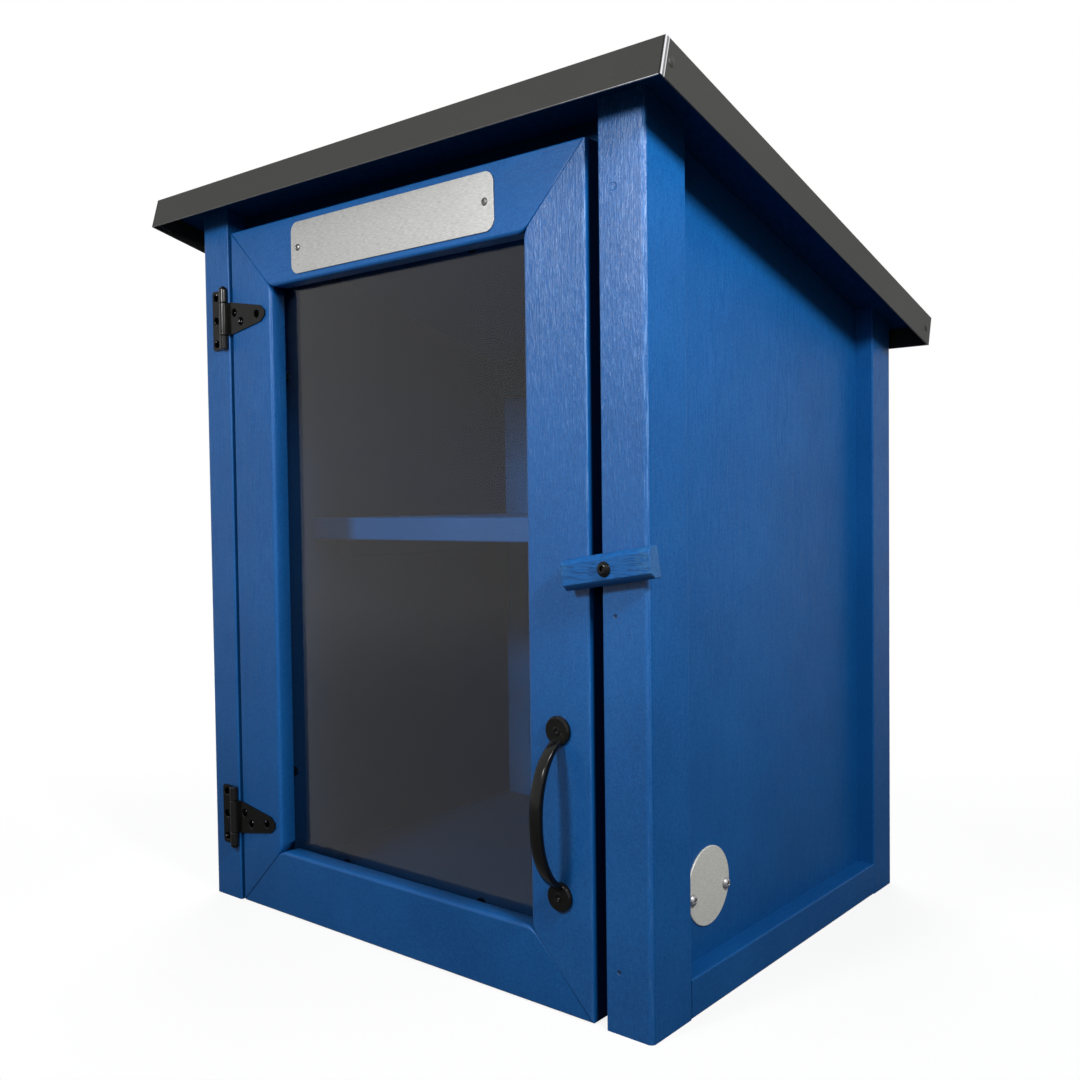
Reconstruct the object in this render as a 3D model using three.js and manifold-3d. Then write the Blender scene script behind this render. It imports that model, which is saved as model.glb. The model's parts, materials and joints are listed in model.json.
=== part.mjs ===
// Street book exchange box: a small blue painted wooden book cabinet with a folded metal
// lean-to roof, a glazed door on two T-hinges, a pull handle and a wooden turn latch.
// Millimetres, +Z up. The front faces -Y, X is 0 on the centre line and Z is 0 under the floor.
import * as THREE from 'three';
import { mergeVertices } from 'three/addons/utils/BufferGeometryUtils.js';
import Module from 'manifold-3d';

const wasm = await Module();
wasm.setup();

// Cabinet body
const cabinetWidth = 492;
const cabinetDepth = 403;
const soffitHeight = 632.6; // underside of the roof deck, above the front face
const postWidth = 38;
const postDepth = 49.5;
const postArris = 4; // radius of the outer front edge of a front post
const easedEdge = 1.5; // radius that sandpaper leaves on the other edges
const trimThickness = 15.9; // boards planted on the outside of the side panels
const trimWidth = 38.5;
const panelThickness = 6.3;
const panelGrooveDepth = 8; // how far a side panel is let into its front post
const backPanelTopGap = 2; // square top edge of the back panel below the deck, at the back face
const railHeight = 28;
const floorThickness = 16;
const headerHeight = 40;
const backRailHeight = 38;
const backRailThickness = 19;
const fitGap = 0.3; // clearance between neighbours that are cut to fit or let in

// Shelf
const shelfTop = 350.6;
const shelfThickness = 21.2;
const shelfSetback = 105.6;
const shelfSideGap = 0.8;
const cleatSize = 19;
const cleatSetback = 32;

// Roof
const roofSlopeDegrees = 15;
const deckThickness = 6.3;
const capSheet = 1.2;
const flangeDepth = 26.6;
const sideOverhang = 33.3;
const frontOverhang = 24.9;
const backOverhang = 16.5;
const cornerSlit = 0.5; // between a side flange and the end of the next flange
const capTabLength = 18;
const capTabInset = 3; // tab edge above the lower edge of its flange
const rivetInset = 9.5;
const rivetRadius = 1.6;
const rivetHeadRadius = 3.6;
const rivetHeadHeight = 1.1;
const rivetTail = 1.5;

// Door
const doorThickness = 19;
const doorFrameWidth = 55.5;
const doorArris = 3; // radius round the glazed opening
const doorGapHinge = 5;
const doorGapLatch = 11;
const doorGapTop = 23.2;
const doorGapBottom = 1;
const doorStopGap = 1.3; // between the closed door and the header and sill
const mitreGap = 0.25;
const mitreEase = 0.8; // radius along the front edges of a mitre
const mitreCorner = 15; // radius in the plan of the frame, where a mitre meets the opening
const rebateWidth = 8;
const rebateDepth = 3.7;
const paneThickness = 3;

// T-hinges
const hingeInset = 76.8; // hinge centre from the top or bottom edge of the door
const hingeAxisInset = 3.5; // pin from the post edge beside the door
const hingePlate = 1.5;
const barrelRadius = 3.6;
const pinRadius = 2.2;
const pinGap = 0.3;
const pinCapHeight = 2.6;
const hingeHeight = 54;
const hingeCorner = 2.5;
const knuckleGap = 0.35;
const barrelChamfer = 0.5;
const leafReach = 19.3; // pin to the far edge of the post leaf
const leafScrewReach = 14.1;
const leafScrewPitch = 21;
const strapLength = 57; // pin to the tip of the door strap
const strapRootHeight = 29;
const strapEndHeight = 14;
const strapTipHeight = 4.5;
const strapPointLength = 5.5;
const strapNearScrew = [13, 4.7];
const strapMiddleScrew = [22.5, -4];
const strapFarScrew = [45.5, 0];

// Turn latch
const latchPivotInset = 11; // pivot from the post edge beside the door
const latchPivotHeight = 318;
const latchTiltDegrees = 8.7; // the bar rests with its door end low
const latchBarLength = 74;
const latchBarWidth = 21.5;
const latchBarThickness = 11;
const latchBarChamfer = 3.8;
const latchStandoff = 1.5;
const latchWasherRadius = 7;
const latchScrewRadius = 3;
const latchScrewDepth = 22; // shank length inside the post
const latchHeadRadius = 5.25;
const latchHeadHeight = 2.6;
const latchHexRadius = 2.2;
const latchHexDepth = 1.6;

// Pull handle
const handleHeight = 143.5; // middle of the grip above the floor
const handleSpan = 118;
const handleDiscRadius = 10.5;
const handleDiscThickness = 3.6;
const handleReach = 29.5;
const gripWidth = 9.4;
const gripThickness = 6;
const gripNeckWidth = 8.4;
const gripNeckThickness = 4.2;
const neckInset = 6.9; // end of a neck from the middle of its disc
const neckLeanDegrees = 28; // of a neck from square to the door, towards the grip
const handleScrewHead = 3.6;
const handleScrewDome = 0.4;
const handleScrewCone = 1.9; // depth of the countersunk head
const handleScrewRadius = 1.8;
const handleScrewDepth = 12;
const handleSocketRadius = 1.9;
const handleSocketDepth = 1.3;

// Blank sign plate on the top rail of the door
const signWidth = 231.3;
const signHeight = 43.5;
const signThickness = 1.2;
const signCorner = 8.5;
const signShift = 2.85; // towards the latch side, from the middle of the door
const signScrewInset = 8.8;

// Blank round medallion on the right side panel
const medallionRadius = 29.2;
const medallionThickness = 1.2;
const medallionChamfer = 0.4;
const medallionPostMargin = 19.2;
const medallionRailMargin = 21.2;
const medallionScrewPitch = 47.2;
const medallionScrewDrop = 4.4;

// Small screws
const hingeCountersink = 4.2;
const hingeScrewSink = 0.4; // edge of a screw head below the face of the hinge
const hingeScrewDome = 0.4;
const hingeScrewRadius = 1.6;
const hingeScrewDepth = 15;
const plateScrewHead = 3;
const plateScrewDome = 1.3;
const plateScrewRadius = 1.1;
const plateScrewDepth = 10;
const panHead = 4.2;
const panHeight = 3;
const panScrewRadius = 1.5;
const shankGap = 0.15;

// Facet counts and cutting
const arcSteps = 4;
const cornerSteps = 8;
const roundSteps = 16;
const barrelSteps = 20;
const discSteps = 48;
const hexSides = 6;
const squareSides = 4;
const gripSteps = 22;
const gripSides = 12;
const overrun = 6; // how far a cutting tool runs past what it cuts

// Shapes as shares of the sizes that they follow
const domeShares = [[0, 1], [0.45, 0.86], [0.8, 0.46], [1, 0]];
const panShares = [[0, 1], [0.5, 0.93], [0.85, 0.66], [1, 0.25], [1, 0]];
const discFaceShare = 0.9; // height of a handle disc's flat face, inside its rim
const discShares = [[0, discFaceShare], [0.76, discFaceShare], [0.8, 1], [0.9, 0.94], [1, 0.6], [1, 0]];
const recessWidthShare = 0.3;
const recessLengthShare = 1.15;
const recessDepthShare = 0.75;
const bowShares = [0.58, 0.27]; // straight run and bend of half the bow, against its span
const gripFullWidthShare = 0.32; // of the way from the middle of the grip to a neck
const pointShare = 0.6; // length of a screw point against its radius

// Sizes that follow
const roofSlope = THREE.MathUtils.degToRad(roofSlopeDegrees);
const latchTilt = THREE.MathUtils.degToRad(latchTiltDegrees);
const neckLean = THREE.MathUtils.degToRad(neckLeanDegrees);
const halfWidth = cabinetWidth / 2;
const halfOpening = halfWidth - postWidth;
const panelOuter = halfWidth - trimThickness;
const panelInner = panelOuter - panelThickness;
const backInner = cabinetDepth - panelThickness;
const stopFront = doorThickness + doorStopGap;
const roofStack = capSheet + fitGap + deckThickness;
const slopeLength = (cabinetDepth + frontOverhang + backOverhang) / Math.cos(roofSlope);
const capHalfWidth = halfWidth + sideOverhang;
const capFrontTop = soffitHeight + frontOverhang * Math.tan(roofSlope) + roofStack / Math.cos(roofSlope);
const doorLeft = -halfOpening + doorGapHinge;
const doorRight = halfOpening - doorGapLatch;
const doorBottom = doorGapBottom;
const doorTop = soffitHeight - doorGapTop;
const hingeX = -halfOpening - hingeAxisInset;
const hingeY = -barrelRadius;
const hingeLevels = { upper: doorTop - hingeInset, lower: doorBottom + hingeInset };
const strapScrews = [strapNearScrew, strapMiddleScrew, strapFarScrew];
const hingeScrewHole = hingeScrewRadius + shankGap;
const countersinkSlope = (hingeCountersink - hingeScrewHole) / hingePlate;
const hingeScrewHead = hingeCountersink - hingeScrewSink * countersinkSlope - shankGap;
const latchX = halfOpening + latchPivotInset;
const latchHoleRadius = latchScrewRadius + fitGap;
const handleX = doorRight - doorFrameWidth / 2;
const signX = (doorLeft + doorRight) / 2 + signShift;
const signZ = doorTop - doorFrameWidth / 2;
const medallionY = postDepth + medallionPostMargin + medallionRadius;
const medallionZ = railHeight + medallionRailMargin + medallionRadius;
const everything = cabinetWidth + cabinetDepth + soffitHeight;
const frontward = new THREE.Vector3(0, -1, 0);
const upward = new THREE.Vector3(0, 0, 1);
const downward = new THREE.Vector3(0, 0, -1);

// Materials
function paint(color, roughness, metalness) {
  return new THREE.MeshStandardMaterial({ color, roughness, metalness });
}
const bluePaint = paint(0x24528c, 0.42, 0);
const roofMetal = paint(0x4a4b47, 0.45, 0.6);
const blackIron = paint(0x15161a, 0.4, 0.7);
const brightMetal = paint(0xb9b8b2, 0.35, 1);
const steel = paint(0x8b8d90, 0.35, 1);
const glass = paint(0xdfe8ea, 0.05, 0);
glass.transparent = true;
glass.opacity = 0.35;

// Solids and cuts
function solidOf(geometry) {
  const bare = new THREE.BufferGeometry();
  bare.setAttribute('position', geometry.getAttribute('position').clone());
  if (geometry.index) bare.setIndex(geometry.index.clone());
  const merged = mergeVertices(bare);
  const vertProperties = new Float32Array(merged.getAttribute('position').array);
  const index = merged.index.array;
  const kept = [];
  for (let i = 0; i < index.length; i += 3) {
    const [a, b, c] = [index[i], index[i + 1], index[i + 2]];
    if (a !== b && b !== c && a !== c) kept.push(a, b, c);
  }
  const triVerts = new Uint32Array(kept);
  return new wasm.Manifold(new wasm.Mesh({ numProp: 3, vertProperties, triVerts }));
}

function geometryOf(solid) {
  const mesh = solid.getMesh();
  const geometry = new THREE.BufferGeometry();
  geometry.setAttribute('position', new THREE.BufferAttribute(new Float32Array(mesh.vertProperties), 3));
  geometry.setIndex(new THREE.BufferAttribute(new Uint32Array(mesh.triVerts), 1));
  return geometry;
}

function cut(geometry, tools) {
  let solid = solidOf(geometry);
  for (const tool of tools) solid = solid.subtract(solidOf(tool));
  return geometryOf(solid);
}

function join(geometries) {
  let solid = solidOf(geometries[0]);
  for (const other of geometries.slice(1)) solid = solid.add(solidOf(other));
  return geometryOf(solid);
}

// A box between two corners, given in either order on each axis. Its corners are set exactly,
// so that boxes which share a plane meet in it.
function block(from, to) {
  const geometry = new THREE.BoxGeometry();
  const position = geometry.getAttribute('position');
  const low = from.map((value, axis) => Math.min(value, to[axis]));
  const high = from.map((value, axis) => Math.max(value, to[axis]));
  for (let i = 0; i < position.count; i += 1) {
    const unit = [position.getX(i), position.getY(i), position.getZ(i)];
    position.setXYZ(i, ...unit.map((value, axis) => (value > 0 ? high[axis] : low[axis])));
  }
  return geometry;
}

// The points of a closed outline through corners [x, y, radius], each rounded by its radius
function outlinePoints(corners) {
  return corners.flatMap(([x, y, radius = 0], i) => {
    const corner = new THREE.Vector2(x, y);
    if (radius === 0) return [corner];
    const before = corners[(i + corners.length - 1) % corners.length];
    const after = corners[(i + 1) % corners.length];
    const back = new THREE.Vector2(before[0], before[1]).sub(corner).normalize();
    const ahead = new THREE.Vector2(after[0], after[1]).sub(corner).normalize();
    const half = Math.acos(back.dot(ahead)) / 2;
    const inward = back.clone().add(ahead).normalize();
    const centre = corner.clone().addScaledVector(inward, radius / Math.sin(half));
    const start = corner.clone().addScaledVector(back, radius / Math.tan(half));
    const step = Math.sign(ahead.cross(back)) * (Math.PI - 2 * half) / cornerSteps;
    return Array.from({ length: cornerSteps + 1 }, (_, k) => start.clone().rotateAround(centre, step * k));
  });
}

function outline(corners) {
  return new THREE.Shape(outlinePoints(corners));
}

function rectangle(x0, y0, x1, y1, radius = 0) {
  return outline([[x0, y0, radius], [x1, y0, radius], [x1, y1, radius], [x0, y1, radius]]);
}

function extrude(shape, length) {
  return new THREE.ExtrudeGeometry(shape, { depth: length, bevelEnabled: false });
}

function turnTo(geometry, xAxis, yAxis, zAxis, origin) {
  const basis = new THREE.Matrix4().makeBasis(xAxis, yAxis, zAxis).setPosition(origin);
  return geometry.applyMatrix4(basis);
}

const axisX = new THREE.Vector3(1, 0, 0);
const axisY = new THREE.Vector3(0, 1, 0);
const axisZ = new THREE.Vector3(0, 0, 1);

// An outline in X and Y, carried up Z
function alongZ(shape, from, to) {
  return extrude(shape, to - from).translate(0, 0, from);
}

// An outline in X and Z, carried along Y
function alongY(shape, from, to) {
  const origin = new THREE.Vector3(0, to, 0);
  return turnTo(extrude(shape, to - from), axisX, axisZ, axisY.clone().negate(), origin);
}

// An outline in Y and Z, carried along X
function alongX(shape, from, to) {
  const origin = new THREE.Vector3(from, 0, 0);
  return turnTo(extrude(shape, to - from), axisY, axisZ, axisX, origin);
}

// A profile [radius, height] turned round an axis that starts at a point
function turned(profile, at, direction, steps = roundSteps) {
  const points = profile.map(([radius, height]) => new THREE.Vector2(radius, height));
  const geometry = new THREE.LatheGeometry(points, steps);
  const turn = new THREE.Quaternion().setFromUnitVectors(axisY, direction);
  return geometry.applyQuaternion(turn).translate(at.x, at.y, at.z);
}

// A round tool from a face into the material below it, starting clear of the face
function drill(radius, depth, at, outward, steps = roundSteps) {
  const profile = [[0, -depth], [radius, -depth], [radius, overrun], [0, overrun]];
  return turned(profile, at, outward, steps);
}

// A profile of shares scaled to a radius and a height
function scaled(shares, radius, height) {
  return shares.map(([across, up]) => [across * radius, up * height]);
}

// A screw: its head profile from the top down, then a shank that ends in a short point. A
// countersunk head narrows to the shank over the depth of its cone.
function screw(head, shankRadius, depth, at, outward, cone = 0) {
  const point = shankRadius * pointShare;
  const shank = [[shankRadius, -cone], [shankRadius, point - depth], [0, -depth]];
  return turned([...head, ...shank].reverse(), at, outward);
}

// A cone into a face that looks to the front, with a straight hole on below it
function countersink(at, wide, narrow, depth) {
  const profile = [
    [0, -depth - overrun],
    [narrow, -depth - overrun],
    [narrow, -depth],
    [wide, 0],
    [wide, overrun],
    [0, overrun],
  ];
  return turned(profile, at, frontward);
}

// A crossed slot in the head of a screw that faces the front
function crossRecess(at, headRadius, depth) {
  const long = headRadius * recessLengthShare / 2;
  const thin = headRadius * recessWidthShare / 2;
  const [y0, y1] = [at.y - overrun, at.y + depth];
  return [
    block([at.x - long, y0, at.z - thin], [at.x + long, y1, at.z + thin]),
    block([at.x - thin, y0, at.z - long], [at.x + thin, y1, at.z + long]),
  ];
}

// The roof's own frame: Y runs down the slope from the front top edge, Z stands square to it
function onRoof(geometry) {
  const down = new THREE.Vector3(0, Math.cos(roofSlope), -Math.sin(roofSlope));
  const square = new THREE.Vector3(0, Math.sin(roofSlope), Math.cos(roofSlope));
  return turnTo(geometry, axisX, down, square, new THREE.Vector3(0, -frontOverhang, capFrontTop));
}

// Everything above the underside of the deck, for cutting what stands under it to the slope
function aboveDeck() {
  const low = [-everything, -everything, -roofStack - fitGap];
  return onRoof(block(low, [everything, everything, everything]));
}

const box = new THREE.Group();
// The origin is under the middle of the roof's extent from front to back
const roofFront = -frontOverhang - flangeDepth * Math.sin(roofSlope);
const roofBack = cabinetDepth + backOverhang;
box.position.set(0, -(roofFront + roofBack) / 2, 0);

function add(name, geometry, material) {
  const mesh = new THREE.Mesh(geometry, material);
  mesh.name = name;
  box.add(mesh);
}

// Wooden body
function screwPlaces(level) {
  return [-leafScrewPitch, 0, leafScrewPitch].map((step) => (
    new THREE.Vector3(hingeX - leafScrewReach, -hingePlate, level + step)
  ));
}

function frontPost(side) {
  const corners = [
    [side * halfWidth, 0, postArris],
    [side * halfWidth, postDepth, easedEdge],
    [side * halfOpening, postDepth, 0],
    [side * halfOpening, 0, easedEdge],
  ];
  const groove = block(
    [side * (panelOuter + fitGap), postDepth - panelGrooveDepth - fitGap, -overrun],
    [side * (panelInner - fitGap), postDepth + overrun, soffitHeight + overrun],
  );
  const tools = [aboveDeck(), groove];
  if (side < 0) {
    for (const at of [...screwPlaces(hingeLevels.upper), ...screwPlaces(hingeLevels.lower)]) {
      tools.push(drill(hingeScrewHole, hingeScrewDepth + shankGap, at, frontward));
    }
  } else {
    const at = new THREE.Vector3(latchX, 0, latchPivotHeight);
    tools.push(drill(latchScrewRadius + shankGap, latchScrewDepth + shankGap, at, frontward));
  }
  const turn = side < 0 ? corners : corners.reverse();
  return cut(alongZ(outline(turn.reverse()), 0, soffitHeight + overrun), tools);
}

function backTrim(side) {
  const corners = [
    [side * panelOuter, cabinetDepth - trimWidth, 0],
    [side * halfWidth, cabinetDepth - trimWidth, easedEdge],
    [side * halfWidth, cabinetDepth, easedEdge],
    [side * panelOuter, cabinetDepth, 0],
  ];
  return cut(alongZ(outline(side > 0 ? corners : corners.reverse()), 0, soffitHeight), [aboveDeck()]);
}

function sideRail(side) {
  const corners = [
    [side * panelOuter, 0, 0],
    [side * halfWidth, 0, easedEdge],
    [side * halfWidth, railHeight, easedEdge],
    [side * panelOuter, railHeight, 0],
  ];
  return alongY(outline(side > 0 ? corners : corners.reverse()), postDepth, cabinetDepth - trimWidth);
}

function sidePanel(side) {
  const front = postDepth - panelGrooveDepth;
  const board = block([side * panelOuter, front, 0], [side * panelInner, cabinetDepth, soffitHeight]);
  const tools = [aboveDeck()];
  if (side > 0) {
    for (const at of medallionScrewPlaces()) {
      tools.push(drill(panScrewRadius + shankGap, panelThickness + medallionThickness + overrun, at, axisX));
    }
  }
  return cut(board, tools);
}

function backPanel() {
  const top = soffitHeight - cabinetDepth * Math.tan(roofSlope) - backPanelTopGap;
  return block([-panelInner, backInner, 0], [panelInner, cabinetDepth, top]);
}

function floorBoard() {
  return block([-panelInner, postDepth, 0], [panelInner, backInner, floorThickness]);
}

function frontSill() {
  const section = outline([
    [stopFront, 0, 0],
    [postDepth, 0, 0],
    [postDepth, railHeight, easedEdge],
    [stopFront, railHeight, easedEdge],
  ]);
  return alongX(section, -halfOpening, halfOpening);
}

function frontHeader() {
  const low = soffitHeight - stopFront * Math.tan(roofSlope) - headerHeight;
  const rail = block([-halfOpening, stopFront, low], [halfOpening, postDepth, soffitHeight]);
  return cut(rail, [aboveDeck()]);
}

function backRail() {
  const low = soffitHeight - backInner * Math.tan(roofSlope) - backRailHeight;
  const front = backInner - backRailThickness;
  return cut(block([-panelInner, front, low], [panelInner, backInner, soffitHeight]), [aboveDeck()]);
}

function shelfBoard() {
  const section = outline([
    [shelfSetback, shelfTop - shelfThickness, easedEdge],
    [backInner - fitGap, shelfTop - shelfThickness, 0],
    [backInner - fitGap, shelfTop, 0],
    [shelfSetback, shelfTop, easedEdge],
  ]);
  return alongX(section, shelfSideGap - panelInner, panelInner - shelfSideGap);
}

function shelfCleat(side) {
  const top = shelfTop - shelfThickness;
  const [front, back] = [shelfSetback + cleatSetback, backInner - cleatSetback];
  return block([side * panelInner, front, top], [side * (panelInner - cleatSize), back, top - cleatSize]);
}

// Roof
function roofDeck() {
  const across = capHalfWidth - capSheet - fitGap;
  const inset = capSheet + fitGap;
  return onRoof(block([-across, inset, -roofStack], [across, slopeLength - inset, -inset]));
}

function capTab(side, end) {
  const outer = capHalfWidth - capSheet - cornerSlit;
  const fold = end > 0 ? slopeLength : 0;
  return block(
    [side * outer, fold, -roofStack - fitGap],
    [side * (outer - capSheet), fold - end * capTabLength, capTabInset - flangeDepth],
  );
}

function capSlit(side, end) {
  const outer = capHalfWidth - capSheet;
  const [from, to] = end > 0 ? [slopeLength - capSheet, slopeLength + overrun] : [-overrun, capSheet];
  return block([side * outer, from, -capSheet], [side * (outer - cornerSlit), to, -flangeDepth - overrun]);
}

function rivetPlace(side, end) {
  const down = end > 0 ? slopeLength - rivetInset : rivetInset;
  return new THREE.Vector3(side * capHalfWidth, down, -flangeDepth / 2);
}

const corners = [[-1, -1], [-1, 1], [1, -1], [1, 1]];

// A folded tray whose end flanges have tabs that turn in behind the side flanges
function roofCap() {
  const inner = capHalfWidth - capSheet;
  const sheet = block([-capHalfWidth, 0, -flangeDepth], [capHalfWidth, slopeLength, 0]);
  const under = block([-inner, capSheet, -flangeDepth - overrun], [inner, slopeLength - capSheet, -capSheet]);
  const tray = cut(sheet, [under, ...corners.map(([side, end]) => capSlit(side, end))]);
  const tabbed = join([tray, ...corners.map(([side, end]) => capTab(side, end))]);
  const depth = capSheet + cornerSlit + capSheet + overrun;
  const holes = corners.map(([side, end]) => (
    drill(rivetRadius + shankGap, depth, rivetPlace(side, end), axisX.clone().multiplyScalar(side))
  ));
  return onRoof(cut(tabbed, holes));
}

function roofRivet(side, end) {
  const grip = capSheet + cornerSlit + capSheet + shankGap;
  const tail = rivetRadius + (rivetHeadRadius - rivetRadius) / 2;
  const profile = [
    ...scaled(domeShares, rivetHeadRadius, rivetHeadHeight),
    [rivetRadius, 0],
    [rivetRadius, -grip],
    [tail, -grip],
    [tail, -grip - rivetTail],
    [0, -grip - rivetTail],
  ];
  return onRoof(turned(profile.reverse(), rivetPlace(side, end), axisX.clone().multiplyScalar(side)));
}

// How far a rounded edge draws in at some depth below the face that it rounds
function drawnIn(radius, depth) {
  return depth < radius ? radius - Math.sqrt(radius ** 2 - (radius - depth) ** 2) : 0;
}

// One level of a door member: X runs from its outer edge to the opening, Z along it
function doorMemberRing(length, y) {
  const outer = drawnIn(easedEdge, y) + drawnIn(easedEdge, doorThickness - y);
  const inner = doorFrameWidth - drawnIn(doorArris, y);
  const start = mitreGap + drawnIn(mitreEase, y) * Math.SQRT2;
  const end = length - start;
  const plan = outlinePoints([
    [outer, start + outer],
    [outer, end - outer],
    [inner, end - inner, mitreCorner],
    [inner, start + inner, mitreCorner],
  ]);
  return plan.map((point) => new THREE.Vector3(point.x, y, point.y));
}

// Door frame: boards with rounded edges, mitred at both ends, with a rebate at the back
function doorMember(length) {
  const levels = [];
  for (let i = 0; i <= arcSteps; i += 1) {
    levels.push(doorArris * (1 - Math.cos((i / arcSteps) * Math.PI / 2)));
  }
  for (let i = 0; i <= arcSteps; i += 1) {
    levels.push(doorThickness - easedEdge * (1 - Math.sin((i / arcSteps) * Math.PI / 2)));
  }
  const board = skin(levels.map((y) => doorMemberRing(length, y)));
  const rebate = block(
    [doorFrameWidth - rebateWidth, doorThickness - rebateDepth, -overrun],
    [doorFrameWidth + overrun, doorThickness + overrun, length + overrun],
  );
  return cut(board, [rebate]);
}

function doorStile(side) {
  const length = doorTop - doorBottom;
  if (side < 0) {
    const origin = new THREE.Vector3(doorLeft, 0, doorBottom);
    const stile = turnTo(doorMember(length), axisX, axisY, axisZ, origin);
    const places = [...strapScrewPlaces(hingeLevels.upper), ...strapScrewPlaces(hingeLevels.lower)];
    return cut(stile, places.map((at) => (
      drill(hingeScrewHole, hingeScrewDepth + shankGap, at, frontward)
    )));
  }
  const origin = new THREE.Vector3(doorRight, 0, doorTop);
  const stile = turnTo(doorMember(length), axisX.clone().negate(), axisY, downward, origin);
  return cut(stile, [1, -1].map((end) => (
    drill(handleScrewRadius + shankGap, handleScrewDepth + shankGap, handleEnd(end), frontward)
  )));
}

function doorRail(end) {
  const length = doorRight - doorLeft;
  if (end < 0) {
    const origin = new THREE.Vector3(doorRight, 0, doorBottom);
    return turnTo(doorMember(length), axisZ, axisY, axisX.clone().negate(), origin);
  }
  const origin = new THREE.Vector3(doorLeft, 0, doorTop);
  const rail = turnTo(doorMember(length), downward, axisY, axisX, origin);
  return cut(rail, signScrewPlaces().map((at) => (
    drill(plateScrewRadius + shankGap, plateScrewDepth + signThickness + shankGap, at, frontward)
  )));
}

function doorPane() {
  const inset = doorFrameWidth - rebateWidth + fitGap;
  const front = doorThickness - rebateDepth;
  return block(
    [doorLeft + inset, front, doorBottom + inset],
    [doorRight - inset, front + paneThickness, doorTop - inset],
  );
}

// T-hinges
function strapScrewPlaces(level) {
  return strapScrews.map(([out, up]) => new THREE.Vector3(hingeX + out, -hingePlate, level + up));
}

function hingeHole(at) {
  return countersink(at, hingeCountersink, hingeScrewHole, hingePlate);
}

function barrel(from, to) {
  const origin = new THREE.Vector3(hingeX, hingeY, from);
  const [length, mouth] = [to - from, barrelRadius - barrelChamfer];
  const round = [
    [0, 0],
    [mouth, 0],
    [barrelRadius, barrelChamfer],
    [barrelRadius, length - barrelChamfer],
    [mouth, length],
    [0, length],
  ];
  return turned(round, origin, upward, barrelSteps);
}

function pinBore(level) {
  const origin = new THREE.Vector3(hingeX, hingeY, level + hingeHeight / 2);
  return drill(pinRadius + pinGap, hingeHeight + overrun, origin, upward, barrelSteps);
}

function hingeLeaf(level) {
  const half = hingeHeight / 2;
  const middle = strapRootHeight / 2;
  const edge = barrelRadius + fitGap + knuckleGap;
  const plate = alongY(outline([
    [hingeX, level - half, 0],
    [hingeX, level - middle - knuckleGap, 0],
    [hingeX - edge, level - middle - knuckleGap, 0],
    [hingeX - edge, level + middle + knuckleGap, 0],
    [hingeX, level + middle + knuckleGap, 0],
    [hingeX, level + half, 0],
    [hingeX - leafReach, level + half, hingeCorner],
    [hingeX - leafReach, level - half, hingeCorner],
  ]), -hingePlate, 0);
  const knuckles = [
    barrel(level - half, level - middle - knuckleGap),
    barrel(level + middle + knuckleGap, level + half),
  ];
  return cut(join([plate, ...knuckles]), [pinBore(level), ...screwPlaces(level).map(hingeHole)]);
}

function hingeStrap(level) {
  const root = strapRootHeight / 2;
  const end = strapEndHeight / 2;
  const tip = strapTipHeight / 2;
  const neck = doorLeft - hingeX;
  const plate = alongY(outline([
    [hingeX, level - root, 0],
    [hingeX + neck, level - root, 0],
    [hingeX + strapLength - strapPointLength, level - end, 0],
    [hingeX + strapLength, level - tip, 0],
    [hingeX + strapLength, level + tip, 0],
    [hingeX + strapLength - strapPointLength, level + end, 0],
    [hingeX + neck, level + root, 0],
    [hingeX, level + root, 0],
  ]), -hingePlate, 0);
  const solid = join([plate, barrel(level - root, level + root)]);
  return cut(solid, [pinBore(level), ...strapScrewPlaces(level).map(hingeHole)]);
}

// A pin with a domed cap at one end: the upper hinge's is on top, the lower one's below
function hingePin(level, end) {
  const half = hingeHeight / 2;
  const profile = [
    [0, -half],
    [pinRadius, -half],
    [pinRadius, half + fitGap],
    [barrelRadius, half + fitGap],
    ...scaled(domeShares.slice(0, -1), barrelRadius, pinCapHeight).reverse()
      .map(([radius, height]) => [radius, half + fitGap + height]),
  ];
  const origin = new THREE.Vector3(hingeX, hingeY, level);
  return turned(profile, origin, end > 0 ? upward : downward, barrelSteps);
}

function hingeScrew(at) {
  const seat = at.clone().addScaledVector(frontward, -hingeScrewSink);
  const cone = hingePlate - hingeScrewSink;
  const head = scaled(domeShares, hingeScrewHead, hingeScrewDome);
  const body = screw(head, hingeScrewRadius, hingeScrewDepth - hingeScrewSink, seat, frontward, cone);
  const tip = seat.clone().addScaledVector(frontward, hingeScrewDome);
  return cut(body, crossRecess(tip, hingeScrewHead, hingeScrewDome + cone / 2));
}

// Turn latch: a bar chamfered along both long edges of its face
function latchBar() {
  const half = latchBarWidth / 2;
  const back = -latchStandoff;
  const face = back - latchBarThickness;
  const section = outline([
    [back, -half],
    [back, half],
    [face + latchBarChamfer, half],
    [face, half - latchBarChamfer],
    [face, latchBarChamfer - half],
    [face + latchBarChamfer, -half],
  ].reverse());
  const bar = alongX(section, -latchBarLength / 2, latchBarLength / 2);
  const hole = drill(latchHoleRadius, latchBarThickness + overrun, new THREE.Vector3(0, face, 0), frontward);
  return cut(bar, [hole]).rotateY(-latchTilt).translate(latchX, 0, latchPivotHeight);
}

function latchWasher() {
  const thick = latchStandoff - fitGap;
  const at = new THREE.Vector3(latchX, 0, latchPivotHeight);
  const profile = [
    [latchHoleRadius, 0],
    [latchWasherRadius, 0],
    [latchWasherRadius, thick],
    [latchHoleRadius, thick],
    [latchHoleRadius, 0],
  ];
  return turned(profile, at, frontward, barrelSteps);
}

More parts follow.
